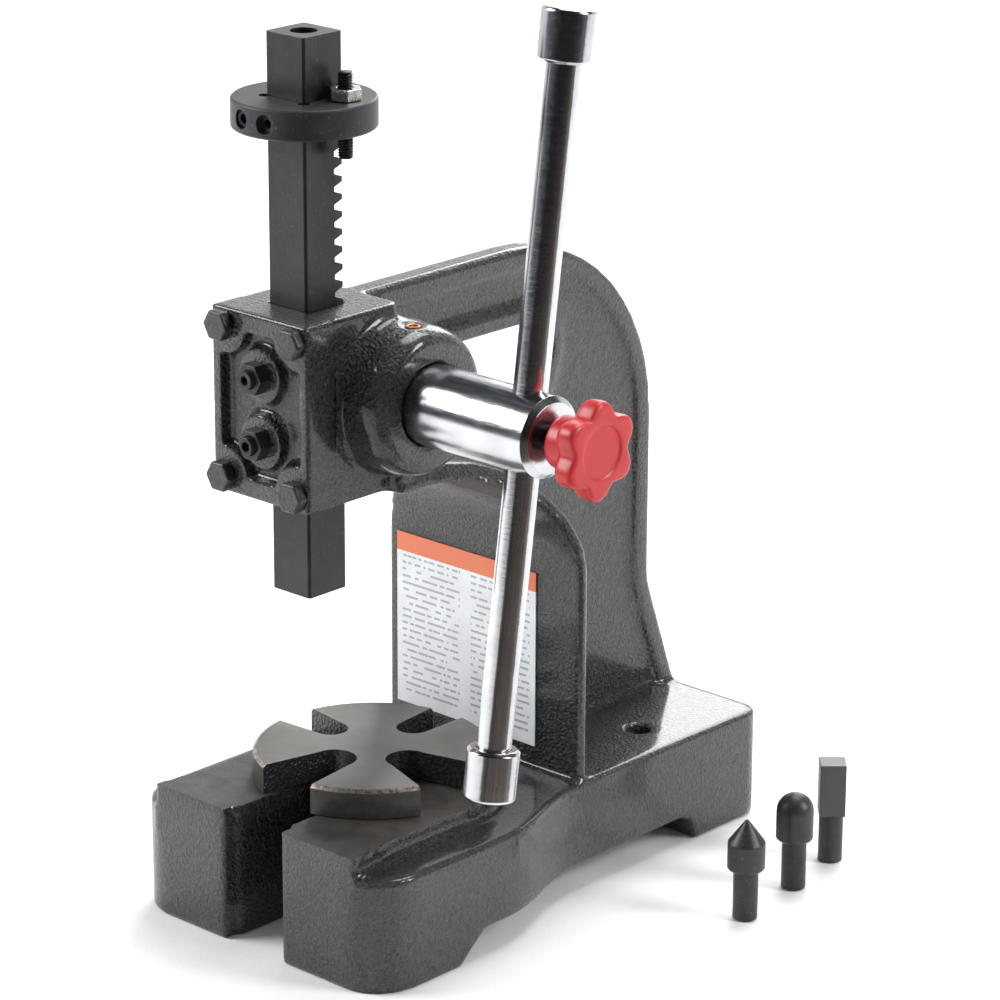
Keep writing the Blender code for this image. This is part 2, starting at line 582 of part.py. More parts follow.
def make_handle(chrome):
    floor = CAP_WALL + GAP
    bar = rod("handle_bar", BAR_RADIUS, HUB - (HANDLE_DOWN - floor) * UP_THE_HANDLE,
              HUB + (HANDLE_UP - floor) * UP_THE_HANDLE)
    make_part(bar, chrome, HUB)
    edge, bore = CAP_EDGE, BAR_RADIUS + GAP
    cap = [(0, 0), (CAP_RADIUS - edge, 0), (CAP_RADIUS - 0.3 * edge, -0.3 * edge), (CAP_RADIUS, -edge),
           (CAP_RADIUS, edge - CAP_LENGTH), (CAP_RADIUS - edge, -CAP_LENGTH), (bore, -CAP_LENGTH),
           (bore, -CAP_WALL), (0, -CAP_WALL)]
    for end, direction, reach in (("upper", 1, HANDLE_UP), ("lower", -1, HANDLE_DOWN)):
        tip = HUB + direction * reach * UP_THE_HANDLE
        shape = turned(f"handle_cap_{end}", cap, tip, direction * UP_THE_HANDLE)
        make_part(shape, chrome, tip)


def make_knob(red, steel):
    axis = (AXIS_Y, AXIS_Z)
    bore_end = KNOB_END - 0.0065
    stud = rod("clamp_stud", STUD_RADIUS, (HANDLE_X + BAR_RADIUS + GAP, *axis), (bore_end - GAP, *axis), 20)
    make_part(stud, steel, (HANDLE_X, *axis))
    star = []
    for angle in np.linspace(0, 2 * math.pi, 10 * LOBES, endpoint=False):
        reach = KNOB_RADIUS + KNOB_WAVE * math.cos(LOBES * angle)
        star.append((AXIS_Y + reach * math.sin(angle), AXIS_Z + reach * math.cos(angle)))
    knob = prism("clamp_knob", star, KNOB_BACK, KNOB_END, "x")
    join(knob, rod("knob_neck", KNOB_NECK, (KNOB_START, *axis), (KNOB_BACK + 0.002, *axis)))
    cut(knob, rod("knob_bore", STUD_RADIUS + GAP, (HUB_END, *axis), (bore_end, *axis), 20))
    make_part(knob, red, (KNOB_BACK, *axis))


# Small parts ----------------------------------------------------------------------------------


def make_anvil_plate(steel):
    low, high = TABLE_TOP + GAP, TABLE_TOP + GAP + PLATE_THICK
    profile = [(0, high), (PLATE_RADIUS - PLATE_CHAMFER, high), (PLATE_RADIUS, high - PLATE_CHAMFER),
               (PLATE_RADIUS, low), (0, low)]
    plate = turned("anvil_plate", profile, (0, PLATE_Y, 0), (0, 0, 1), 64)
    for degrees, mouth, end_radius, distance in PLATE_SLOTS:
        far = PLATE_RADIUS + 0.01
        flare = mouth + (mouth - end_radius) * 0.01 / (PLATE_RADIUS - distance)
        outline = arc((distance, 0), end_radius, 90, 270, 12) + [(far, -flare), (far, flare)]
        slot = prism(f"plate_slot_{degrees}", outline, 0.05, 0.09, "z")
        turn = Matrix.Rotation(math.radians(degrees), 4, "Z")
        slot.data.transform(Matrix.Translation((0, PLATE_Y, 0)) @ turn)
        cut(plate, slot)
    make_part(plate, steel, (0, PLATE_Y, low))


def make_label_and_oiler(white, brass, steel):
    (left, low), (right, high) = LABEL_LOW, LABEL_HIGH
    face = FLANGE_Y - GAP
    make_part(box("label_plate", (left, face - LABEL_THICK, low), (right, face, high)), white)
    floor = OILER_TOP - 2.6 * BALL_RADIUS
    profile = [(0, floor), (OILER_BORE, floor), (OILER_BORE, OILER_TOP), (OILER_RADIUS, OILER_TOP),
               (OILER_RADIUS, OILER_LOW), (0, OILER_LOW)]
    ring = turned("oiler_ring", profile, (OILER_X, AXIS_Y, 0), (0, 0, 1), 20)
    make_part(ring, brass, (OILER_X, AXIS_Y, OILER_LOW))
    centre = (OILER_X, AXIS_Y, floor + GAP + BALL_RADIUS)
    make_part(ball("oiler_ball", BALL_RADIUS, centre), steel, centre)


def make_nose_tools(steel):
    edge = 0.0006
    foot = [(TOOL_SHANK, edge), (TOOL_SHANK - edge, 0), (0, 0)]
    shoulder = [(TOOL_HEAD, 0.0255), (TOOL_HEAD - 0.0009, 0.0245), (TOOL_SHANK, 0.0245)]
    cone = [(0, 0.0490), (0.0007, 0.0490), (TOOL_HEAD, 0.0380)] + shoulder
    dome = [(u, DOME_Z + v) for u, v in arc((0, 0), TOOL_HEAD, 90, 0, 8)] + shoulder
    for name, profile in (("cone", cone), ("round", dome)):
        x, y = TOOL_PLACES[name]
        tool = turned(f"nose_tool_{name}", profile + foot, (x, y, 0), (0, 0, 1), 24)
        make_part(tool, steel, (x, y, 0))
    x, y = TOOL_PLACES["flat"]
    shank = rod("nose_tool_flat", TOOL_SHANK, (x, y, 0), (x, y, 0.030), 24)
    blade = box("flat_blade", (-BLADE_HALF, -BLADE_HALF, BLADE_LOW), (BLADE_HALF, BLADE_HALF, BLADE_HIGH))
    blade.data.transform(Matrix.Translation((x, y, 0)) @ Matrix.Rotation(BLADE_TURN, 4, "Z"))
    make_part(join(shank, blade), steel, (x, y, 0))


def main():
    paint = new_material("hammered_paint", (0.030, 0.035, 0.033), 0.32, 0.0)
    steel = new_material("blackened_steel", (0.045, 0.047, 0.052), 0.42, 0.8)
    chrome = new_material("chrome", (0.80, 0.80, 0.81), 0.08, 1.0)
    zinc = new_material("bright_zinc", (0.70, 0.70, 0.69), 0.22, 1.0)
    ground = new_material("ground_steel", (0.30, 0.30, 0.30), 0.40, 0.9)
    brass = new_material("brass", (0.62, 0.33, 0.12), 0.30, 1.0)
    red = new_material("red_plastic", (0.75, 0.035, 0.035), 0.35, 0.0)
    white = new_material("label_white", (0.80, 0.81, 0.82), 0.50, 0.0)
    make_frame_casting(paint)
    make_cover(paint)
    make_fasteners(steel, paint)
    make_ram(steel)
    make_collar(steel, zinc)
    make_pinion_shaft(chrome, steel)
    make_handle(chrome)
    make_knob(red, steel)
    make_anvil_plate(ground)
    make_label_and_oiler(white, brass, steel)
    make_nose_tools(steel)


main()
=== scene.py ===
"""Looks of the bench arbor press: cast fillets, machined edges, threads and all the finishes.

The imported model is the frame. Only the label keeps its CAD shape and gets a material. Every other node is
replaced by a piece that starts from its mesh or its box: castings are remeshed and their corners filled as a
foundry fills them, machined pieces get broken edges, and the studs get their threads. All sizes are metres in
the frame's own axes.
"""

import json
import math

import bmesh
import bpy
import numpy as np
from mathutils import Matrix, Vector


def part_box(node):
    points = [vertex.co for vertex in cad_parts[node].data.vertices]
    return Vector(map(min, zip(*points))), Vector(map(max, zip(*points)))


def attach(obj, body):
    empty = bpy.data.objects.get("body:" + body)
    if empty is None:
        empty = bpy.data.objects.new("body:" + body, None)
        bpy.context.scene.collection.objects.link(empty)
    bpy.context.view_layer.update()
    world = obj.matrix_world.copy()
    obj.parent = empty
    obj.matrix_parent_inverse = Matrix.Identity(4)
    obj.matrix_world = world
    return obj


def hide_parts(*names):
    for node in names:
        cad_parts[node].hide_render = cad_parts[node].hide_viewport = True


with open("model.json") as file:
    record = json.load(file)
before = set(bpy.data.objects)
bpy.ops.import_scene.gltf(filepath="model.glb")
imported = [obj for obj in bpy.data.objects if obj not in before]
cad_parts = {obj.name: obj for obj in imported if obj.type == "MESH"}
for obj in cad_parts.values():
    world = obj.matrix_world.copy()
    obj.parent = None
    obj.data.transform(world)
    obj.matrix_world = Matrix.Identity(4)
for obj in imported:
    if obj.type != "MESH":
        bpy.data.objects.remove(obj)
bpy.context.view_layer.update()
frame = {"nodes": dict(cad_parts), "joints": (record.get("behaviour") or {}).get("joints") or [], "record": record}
NODES = frame["nodes"]
JOINTS = {joint["name"]: joint for joint in frame["joints"]}
BODY_OF = {node: body for body, nodes in frame["record"]["behaviour"]["bodies"].items() for node in nodes}

GAP = 0.0003
CAMERA_TARGET = Vector((-0.0293, 0.0142, 0.1792))
CAMERA_DISTANCE = 1.8951
CAMERA_AZIMUTH, CAMERA_ELEVATION, CAMERA_ROLL = (math.radians(angle) for angle in (42.734, 18.619, 0.256))
CAMERA_LENS = 146.6
LIGHT_TARGET = Vector((0.0, 0.0, 0.2))
FLOOR_REACH = 2.6
GLOW = (0.40, 0.42, 0.45)
ROOM_RISE = math.radians(50)
DARK_FROM, DARK_TO = math.radians(-42), math.radians(82)
DARK_NEAR, DARK_FAR, DARK_PARTS = 0.20, 4.0, 24

HUB = Vector(JOINTS["pinion_spin"]["pos_m"])
RAM_AXIS = (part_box("ram")[0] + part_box("ram")[1]) / 2
TABLE_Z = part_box("anvil_plate")[0].z - GAP
TABLE_SKIN, TABLE_HEADROOM, TABLE_REACH, TABLE_TOLERANCE = 0.0006, 0.002, 0.062, 0.0007
PLATE = Vector(JOINTS["anvil_turn"]["pos_m"])
KNOB_TURN = math.radians(4)
BAR_X = HUB.x + 0.1  # near the handle bar

# The joint between the head and its cover, which is crisp and hard to see
HEAD_Z = TABLE_Z + 0.1
JOINT_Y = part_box("front_cover_plate")[1].y + GAP / 2
JOINT_GROWTH, JOINT_SLIT = 0.005, 0.00006

# Bores and slots that are machined into the casting
RAM_SLOT_LOW, RAM_SLOT_HIGH = 0.20, 0.32
BEARING_DEPTH = 0.0125
TAIL_RADIUS, TAIL_OVERRUN = 0.0103, 0.01
MOUNT_HOLE_RADIUS, MOUNT_HOLE_LOW, MOUNT_HOLE_HIGH = 0.006, -0.01, 0.08


# Node materials -------------------------------------------------------------------------------


class Nodes:
    """Short calls for the nodes of one tree; a value is a number, a colour or another node's socket."""

    def __init__(self, tree):
        self.tree = tree

    def add(self, kind):
        return self.tree.nodes.new("ShaderNode" + kind)

    def put(self, value, socket):
        if hasattr(value, "is_linked"):
            self.tree.links.new(value, socket)
        elif isinstance(value, tuple) and socket.type == "RGBA":
            socket.default_value = (*value, 1)
        else:
            socket.default_value = value

    def math(self, operation, *values):
        node = self.add("Math")
        node.operation = operation
        for value, socket in zip(values, node.inputs):
            self.put(value, socket)
        return node.outputs[0]

    def ramp(self, value, *stops):
        """A colour ramp through (position, colour or grey) stops."""
        node = self.add("ValToRGB")
        elements = node.color_ramp.elements
        while len(elements) < len(stops):
            elements.new(0.5)
        for element, (position, colour) in zip(elements, stops):
            element.position = position
            element.color = (*colour, 1) if isinstance(colour, tuple) else (colour, colour, colour, 1)
        self.put(value, node.inputs[0])
        return node.outputs[0]

    def mix(self, share, first, second):
        node = self.add("Mix")
        node.data_type = "RGBA"
        self.put(share, node.inputs["Factor"])
        self.put(first, node.inputs[6])
        self.put(second, node.inputs[7])
        return node.outputs[2]


class Paint(Nodes):
    """A Principled material; every pattern uses object coordinates."""

    def __init__(self, name, roughness, metallic=0.0, **inputs):
        self.material = bpy.data.materials.new(name)
        self.material.use_nodes = True
        super().__init__(self.material.node_tree)
        self.shader = self.tree.nodes["Principled BSDF"]
        self.place = self.add("TexCoord").outputs["Object"]
        self.shader.inputs["Roughness"].default_value = roughness
        self.shader.inputs["Metallic"].default_value = metallic
        for socket, value in inputs.items():
            self.shader.inputs[socket.replace("_", " ")].default_value = value

    def stretched(self, scale):
        node = self.add("Mapping")
        node.inputs["Scale"].default_value = scale
        self.put(self.place, node.inputs["Vector"])
        return node.outputs[0]

    def noise(self, scale, detail=2.0, place=None, distortion=0.0):
        node = self.add("TexNoise")
        node.inputs["Scale"].default_value = scale
        node.inputs["Detail"].default_value = detail
        node.inputs["Distortion"].default_value = distortion
        self.put(self.place if place is None else place, node.inputs["Vector"])
        return node.outputs["Fac"]

    def cells(self, scale, smoothness):
        node = self.add("TexVoronoi")
        node.feature = "SMOOTH_F1"
        node.inputs["Scale"].default_value = scale
        node.inputs["Smoothness"].default_value = smoothness
        self.put(self.place, node.inputs["Vector"])
        return node.outputs["Distance"]

    def wear_and_hollow_shade(self, low, high):
        """Near 1 on outer edges and near 0 elsewhere, from the surface's pointiness. On steel it marks worn edges;
        in the hammered paint, with a lower ramp, its near 0 marks the hollows, which get painted shade.
        """
        pointiness = self.add("NewGeometry").outputs["Pointiness"]
        return self.ramp(pointiness, (low, 0.0), (high, 1.0))

    def axis(self, index):
        node = self.add("SeparateXYZ")
        self.put(self.place, node.inputs[0])
        return node.outputs[index]

    def spot(self, x, y=0.0):
        """A place made of two values, for a pattern that follows them."""
        node = self.add("CombineXYZ")
        self.put(x, node.inputs[0])
        self.put(y, node.inputs[1])
        return node.outputs[0]

    def colour(self, value):
        self.put(value, self.shader.inputs["Base Color"])
        return self

    def rough(self, value, low, high):
        span = self.math("MULTIPLY_ADD", value, high - low, low)
        self.put(span, self.shader.inputs["Roughness"])
        return self

    def bump(self, *layers):
        """Stacks (height, depth in metres) layers into the normal."""
        below = None
        for height, depth in layers:
            node = self.add("Bump")
            node.inputs["Strength"].default_value = 1.0
            node.inputs["Distance"].default_value = depth
            self.put(height, node.inputs["Height"])
            if below is not None:
                self.put(below, node.inputs["Normal"])
            below = node.outputs[0]
        self.put(below, self.shader.inputs["Normal"])
        return self.material


def hammered_paint():
    """Thick dark gloss paint: lumps with pits between them; painted shade makes the pits near black and the inner
    corners black.
    """
    paint = Paint("hammered_paint", 0.3, Coat_Weight=0.7, Coat_Roughness=0.12)
    lumps = paint.cells(700, 0.5)
    worms = paint.noise(560, 4, distortion=0.8)
    grain = paint.noise(1900, 3)
    cloud = paint.noise(38, 4)
    # painted shade: the low parts of the worms bump, the pits, are near black
    pits = paint.ramp(worms, (0.38, 0.0), (0.58, 1.0))
    tone = paint.mix(pits, (0.0012, 0.0012, 0.0010), (0.029, 0.030, 0.025))
    tone = paint.mix(paint.math("MULTIPLY", cloud, 0.45), tone, (0.018, 0.019, 0.015))
    # painted shade: black where the surface turns inwards, in the inner corners and grooves
    tone = paint.mix(paint.wear_and_hollow_shade(0.43, 0.50), (0.0010, 0.0010, 0.0010), tone)
    paint.colour(tone).rough(grain, 0.20, 0.46)
    return paint.bump((cloud, 0.0010), (worms, 0.0026), (lumps, 0.0011), (grain, 0.00025))


def smooth_paint():
    """The same paint where it has flowed smooth over a bolt head."""
    paint = Paint("smooth_paint", 0.34, Coat_Weight=0.3, Coat_Roughness=0.2)
    cloud = paint.noise(240, 4)
    lumps = paint.noise(640, 3, distortion=0.6)
    paint.colour(paint.ramp(lumps, (0.38, (0.005, 0.005, 0.005)), (0.60, (0.026, 0.027, 0.026))))
    paint.rough(cloud, 0.30, 0.55)
    return paint.bump((cloud, 0.0006), (lumps, 0.0009), (paint.noise(1300, 3), 0.00010))


def bare_iron():
    iron = Paint("bare_iron", 0.5, 0.55)
    patches = iron.noise(120, 5)
    pores = iron.noise(2200, 3)
    tone = iron.ramp(patches, (0.3, (0.062, 0.055, 0.050)), (0.7, (0.110, 0.100, 0.090)))
    tone = iron.mix(iron.ramp(pores, (0.50, 0.0), (0.72, 0.7)), tone, (0.022, 0.020, 0.019))
    iron.colour(tone).rough(pores, 0.40, 0.62)
    return iron.bump((pores, 0.00006), (iron.noise(900, 2, iron.stretched((1, 0.05, 1))), 0.00003))


def ground_steel():
    steel = Paint("ground_steel", 0.4, 0.75)
    strokes = steel.noise(1500, 3, steel.stretched((0.05, 1, 1)))
    stain = steel.noise(45, 4)
    tone = steel.ramp(stain, (0.30, (0.125, 0.118, 0.108)), (0.70, (0.19, 0.18, 0.165)))
    tone = steel.mix(steel.math("MULTIPLY", steel.wear_and_hollow_shade(0.52, 0.60), 0.8), tone, (0.34, 0.33, 0.31))
    steel.colour(tone).rough(strokes, 0.40, 0.56)
    return steel.bump((strokes, 0.00003), (steel.noise(3000, 2), 0.00003))


def chamfer_steel():
    steel = Paint("chamfer_steel", 0.35, 0.85)
    rust = steel.noise(520, 4)
    bright, stained, rusty = (0.34, 0.34, 0.33), (0.25, 0.20, 0.16), (0.13, 0.085, 0.055)
    tone = steel.ramp(rust, (0.40, bright), (0.56, stained), (0.66, rusty))
    steel.colour(tone).rough(rust, 0.22, 0.55)
    return steel.bump((steel.noise(1600, 3), 0.00008))


def sawn_side():
    side = Paint("plate_side", 0.5, 0.25)
    mottle = side.noise(260, 4)
    side.colour(side.ramp(mottle, (0.3, (0.034, 0.036, 0.032)), (0.7, (0.060, 0.062, 0.055))))
    side.rough(mottle, 0.42, 0.62)
    return side.bump((side.noise(1400, 3), 0.00007))


def rough_wall():
    wall = Paint("slot_wall", 0.35, Coat_Weight=0.3, Coat_Roughness=0.15)
    lumps = wall.cells(620, 0.5)
    # near black: painted shade on the walls inside the plate's slots
    wall.colour(wall.ramp(lumps, (0.1, (0.020, 0.021, 0.022)), (0.7, (0.008, 0.008, 0.009))))
    wall.rough(lumps, 0.2, 0.5)
    return wall.bump((lumps, 0.0006), (wall.noise(1500, 3), 0.00015))


def blued_steel(name, dark, light, low, high, stroke=(1, 1, 0.04)):
    steel = Paint(name, 0.4, 0.35)
    strokes = steel.noise(1300, 3, steel.stretched(stroke))
    patches = steel.noise(70, 5)
    tone = steel.ramp(patches, (0.32, dark), (0.68, light))
    bare = tuple(4.0 * value + 0.05 for value in light)
    specks = steel.ramp(steel.noise(1100, 2), (0.66, 0.0), (0.74, 0.5))
    tone = steel.mix(specks, tone, bare)
    tone = steel.mix(steel.math("MULTIPLY", steel.wear_and_hollow_shade(0.53, 0.62), 0.55), tone, bare)
    steel.colour(tone).rough(patches, low, high)
    return steel.bump((strokes, 0.00004), (steel.noise(2400, 2), 0.00005), (steel.noise(160, 3), 0.00008))


def chrome():
    plate = Paint("chrome", 0.1, 1.0)
    film = plate.noise(60, 4)
    scuff = plate.noise(700, 5, plate.stretched((0.2, 1, 1)), 0.4)
    scratch = plate.noise(2600, 2, plate.stretched((1, 0.06, 0.06)))
    plate.colour(plate.ramp(film, (0.3, (0.50, 0.51, 0.53)), (0.7, (0.62, 0.625, 0.63))))
    plate.rough(scuff, 0.10, 0.30)
    return plate.bump((scratch, 0.00002), (scuff, 0.00004), (plate.noise(25, 2), 0.0002))


def bright_zinc():
    zinc = Paint("bright_zinc", 0.25, 0.95)
    tint = zinc.noise(420, 4)
    zinc.colour(zinc.ramp(tint, (0.38, (0.74, 0.75, 0.74)), (0.60, (0.62, 0.55, 0.44))))
    zinc.rough(tint, 0.16, 0.36)
    return zinc.bump((zinc.noise(1800, 2), 0.00004))


def brass():
    ring = Paint("brass", 0.3, 0.95)
    tint = ring.noise(700, 4)
    ring.colour(ring.ramp(tint, (0.3, (0.66, 0.32, 0.11)), (0.7, (0.52, 0.22, 0.07))))
    ring.rough(tint, 0.22, 0.42)
    return ring.bump((ring.noise(2400, 2), 0.00003))


def red_plastic():
    red = Paint("red_plastic", 0.4, Coat_Weight=0.08, Coat_Roughness=0.2)
    cloud = red.noise(90, 3)
    red.colour(red.ramp(cloud, (0.3, (0.40, 0.007, 0.009)), (0.7, (0.47, 0.011, 0.013))))
    red.rough(cloud, 0.34, 0.48)
    return red.bump((red.noise(1700, 3), 0.00004), (red.noise(140, 2), 0.00015))


def printed_label():
    """A sticker with a coloured band and plain grey dashes in two columns."""
    card = Paint("label_print", 0.38, Coat_Weight=0.25, Coat_Roughness=0.2)
    low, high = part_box("label_plate")
    band, margin, line, foot = 0.0093, 0.0035, 0.0034, 0.004
    x, z = card.axis(0), card.axis(2)
    down = card.math("SUBTRACT", high.z - band, z)
    lines_down = card.math("DIVIDE", down, line)
    stroke = card.math("COMPARE", card.math("FRACT", lines_down), 0.62, 0.17)
    row = card.math("MULTIPLY", card.math("FLOOR", lines_down), 0.37)
    words = card.math("GREATER_THAN", card.noise(330, 0, card.spot(x, row)), 0.44)
    column_width = (high.x - low.x) / 2
    across = card.math("MODULO", card.math("SUBTRACT", x, low.x), column_width)
    in_column = card.math("COMPARE", across, column_width / 2, column_width / 2 - margin)
    below_band = card.math("GREATER_THAN", down, 0.0012)
    above_foot = card.math("GREATER_THAN", z, low.z + foot)
    ink = 0.62
    for part in (stroke, words, in_column, below_band, above_foot):
        ink = card.math("MULTIPLY", part, ink)
    paper = card.ramp(card.noise(60, 4), (0.3, (0.71, 0.72, 0.74)), (0.7, (0.81, 0.82, 0.83)))
    tone = card.mix(ink, paper, (0.16, 0.17, 0.19))
    card.colour(card.mix(card.math("LESS_THAN", down, 0.0), tone, (0.72, 0.165, 0.060)))
    return card.bump((card.noise(300, 3), 0.00005))


def dark_cloth():
    """Brown and black bands that fan out from the foot of the handle bar, to be seen in its chrome."""
    cloth = Paint("dark_cloth", 0.9)
    along = cloth.math("SUBTRACT", cloth.axis(0), BAR_X)
    beside = cloth.math("SUBTRACT", cloth.axis(1), HUB.y)
    bands = cloth.noise(4.5, 3, cloth.spot(cloth.math("ARCTAN2", beside, along)))
    cloth.colour(cloth.ramp(bands, (0.38, (0.006, 0.004, 0.003)), (0.52, (0.05, 0.036, 0.028)),
                            (0.60, (0.20, 0.15, 0.12)), (0.66, (0.02, 0.014, 0.011))))
    return cloth.material


def floor_paper():
    paper = Paint("floor_paper", 0.75)
    fibre = paper.noise(40, 3)
    paper.colour(paper.ramp(fibre, (0.3, (0.86, 0.86, 0.855)), (0.7, (0.88, 0.88, 0.875))))
    return paper.bump((paper.noise(600, 2), 0.0001))


# Pieces ---------------------------------------------------------------------------------------


def welded(node):
    """A copy of a CAD node's mesh with its split corners joined and its flat faces whole."""
    bm = bmesh.new()
    bm.from_mesh(NODES[node].data)
    bmesh.ops.remove_doubles(bm, verts=bm.verts, dist=2e-6)
    bmesh.ops.dissolve_limit(bm, angle_limit=math.radians(0.6), verts=bm.verts, edges=bm.edges)
    mesh = bpy.data.meshes.new(node + "_look")
    bm.to_mesh(mesh)
    bm.free()
    return mesh


def piece(node, mesh, *materials):
    """A new object that stands for a CAD node and rides on its body."""
    obj = bpy.data.objects.new(node + "_look", mesh)
    bpy.context.scene.collection.objects.link(obj)
    mesh.materials.clear()
    for material in materials:
        mesh.materials.append(material)
    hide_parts(node)
    return obj


def settle(obj, angle=35):
    """Applies the modifiers and shades the piece smooth, apart from its sharp edges."""
    bpy.context.view_layer.update()
    graph = bpy.context.evaluated_depsgraph_get()
    mesh = bpy.data.meshes.new_from_object(obj.evaluated_get(graph))
    obj.modifiers.clear()
    obj.data = mesh
    mesh.shade_smooth()
    if angle:
        mesh.set_sharp_from_angle(angle=math.radians(angle))
    return obj


def machined(node, material, edge, segments=2, angle=28):
    """The node's own shape with its sharp edges broken by a small round."""
    obj = piece(node, welded(node), material)
    bevel = obj.modifiers.new("edges", "BEVEL")
    bevel.width = edge
    bevel.segments = segments
    bevel.limit_method = "ANGLE"
    bevel.angle_limit = math.radians(angle)
    bevel.harden_normals = True
    settle(obj, 40)
    obj.modifiers.new("normals", "WEIGHTED_NORMAL").keep_sharp = True
    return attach(obj, BODY_OF[node])


def neighbours(mesh):
    """The mesh's edges as two index arrays, and how many edges meet at each vertex."""
    ends = np.empty(2 * len(mesh.edges), np.int32)
    mesh.edges.foreach_get("vertices", ends)
    first, second = ends.reshape(-1, 2).T
    return first, second, np.bincount(ends, minlength=len(mesh.vertices))[:, None]


def vertex_places(mesh):
    places = np.empty(3 * len(mesh.vertices))
    mesh.vertices.foreach_get("co", places)
    return places.reshape(-1, 3)


def relax(mesh, rounds, hold, hollows_only):
    """Moves each vertex towards its neighbours, or only outwards, which fills inner corners."""
    first, second, count = neighbours(mesh)
    places = vertex_places(mesh)
    normals = np.empty(3 * len(mesh.vertices))
    for _ in range(rounds):
        total = np.zeros_like(places)
        for axis in range(3):
            total[:, axis] = np.bincount(first, places[second, axis], len(places))
            total[:, axis] += np.bincount(second, places[first, axis], len(places))
        step = total / count - places
        if hollows_only:
            mesh.vertices.foreach_get("normal", normals)
            outward = normals.reshape(-1, 3)
            step = outward * np.clip((step * outward).sum(1), 0, None)[:, None]
        places = places + 0.5 * step * hold
        mesh.vertices.foreach_set("co", places.ravel())
        mesh.update()


def cylinder(radius, start, end, segments=64):
    start, end = Vector(start), Vector(end)
    bm = bmesh.new()
    bmesh.ops.create_cone(bm, cap_ends=True, segments=segments, radius1=radius, radius2=radius,
                          depth=(end - start).length)
    turn = (end - start).to_track_quat("Z", "Y").to_matrix().to_4x4()
    bmesh.ops.transform(bm, matrix=Matrix.Translation((start + end) / 2) @ turn, verts=bm.verts)
    return bm


def block(low, high):
    low, high = Vector(low), Vector(high)
    bm = bmesh.new()
    bmesh.ops.create_cube(bm, size=1)
    bmesh.ops.scale(bm, vec=high - low, verts=bm.verts)
    bmesh.ops.translate(bm, vec=(low + high) / 2, verts=bm.verts)
    return bm


def carve(obj, shapes):
    """Cuts freshly machined holes and faces into the piece."""
    cutters = []
    for number, bm in enumerate(shapes):
        mesh = bpy.data.meshes.new("cut")
        bm.to_mesh(mesh)
        bm.free()
        cutter = bpy.data.objects.new("cut", mesh)
        bpy.context.scene.collection.objects.link(cutter)
        cutters.append(cutter)
        modifier = obj.modifiers.new(f"cut_{number}", "BOOLEAN")
        modifier.operation = "DIFFERENCE"
        modifier.solver = "MANIFOLD"
        modifier.object = cutter
    settle(obj)
    for cutter in cutters:
        bpy.data.objects.remove(cutter)


def cast(node, voxel, fill, soften, hold, joint_step, *materials):
    """The node's shape as cast metal: inner corners filled and outer ones rounded.

    hold gives each vertex, from its place, the share of the rounding that it takes. The face at the joint
    between head and cover grows by joint_step along Y, so that trimming it later leaves its edges crisp.
    """
    mesh = welded(node)
    for vertex in mesh.vertices:
        if abs(vertex.co.y - JOINT_Y) < 2 * GAP and vertex.co.z > HEAD_Z:
            vertex.co.y += joint_step
    obj = piece(node, mesh, *materials)
    remesh = obj.modifiers.new("skin", "REMESH")
    remesh.mode = "VOXEL"
    remesh.voxel_size = voxel
    settle(obj)
    share = hold(vertex_places(obj.data))[:, None]
    relax(obj.data, fill, share, True)
    relax(obj.data, soften, share, False)
    return obj


def casting_look(paint, iron):
    """The frame casting, with its table, joint face and bores machined after casting."""
    def hold(places):
        y, z = places[:, 1], places[:, 2]
        table = (z > TABLE_Z - TABLE_SKIN) & (z < TABLE_Z + TABLE_HEADROOM) & (y < PLATE.y + TABLE_REACH)
        return np.where(table, 0.0, 1.0)

    voxel = 0.0013
    obj = cast("frame_casting", voxel, 26, 5, hold, -JOINT_GROWTH, paint, iron)
    ram_low, ram_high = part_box("ram")
    shaft_low, shaft_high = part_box("pinion_shaft")
    bearing_radius = (shaft_high.z - shaft_low.z) / 2 + GAP
    bearing_end = (RAM_AXIS.x - BEARING_DEPTH, HUB.y, HUB.z)
    tail_end = (shaft_low.x - TAIL_OVERRUN, HUB.y, HUB.z)
    cuts = [block((-1, -1, HEAD_Z), (1, JOINT_Y + JOINT_SLIT, 1)),
            block((ram_low.x - GAP, -1, RAM_SLOT_LOW), (ram_high.x + GAP, ram_high.y + GAP, RAM_SLOT_HIGH)),
            cylinder(bearing_radius, bearing_end, (shaft_high.x, HUB.y, HUB.z), 96),
            cylinder(TAIL_RADIUS, tail_end, (RAM_AXIS.x, HUB.y, HUB.z))]
    for opening in frame["record"]["physics"]["openings"]:
        if opening["name"].startswith("mount_hole"):
            low, high = (Vector(corner) for corner in opening["box_m"])
            middle = (low + high) / 2
            cuts.append(cylinder(MOUNT_HOLE_RADIUS, (middle.x, middle.y, MOUNT_HOLE_LOW),
                                 (middle.x, middle.y, MOUNT_HOLE_HIGH), 48))
    carve(obj, cuts)
    for polygon in obj.data.polygons:
        machined_flat = polygon.normal.z > 0.97 and abs(polygon.center.z - TABLE_Z) < TABLE_TOLERANCE
        polygon.material_index = int(machined_flat)
    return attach(obj, "frame")


def cover_look(paint):
    voxel = 0.0009
    obj = cast("front_cover_plate", voxel, 10, 4, lambda places: np.ones(len(places)), JOINT_GROWTH, paint)
    carve(obj, [block((-1, JOINT_Y - JOINT_SLIT, 0), (1, 1, 1))])
    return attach(obj, "frame")


def rings_mesh(name, rings):
    """A skin through rings with equal numbers of points; a ring of one point closes an end."""
    bm = bmesh.new()
    loops = [[bm.verts.new(point) for point in ring] for ring in rings]
    for lower, upper in zip(loops, loops[1:]):
        count = max(len(lower), len(upper))
        for spot in range(count):
            corners = [lower[spot % len(lower)], lower[(spot + 1) % len(lower)],
                       upper[(spot + 1) % len(upper)], upper[spot % len(upper)]]
            bm.faces.new(list(dict.fromkeys(corners)))
    bmesh.ops.recalc_face_normals(bm, faces=bm.faces)
    mesh = bpy.data.meshes.new(name)
    bm.to_mesh(mesh)
    bm.free()
    return mesh


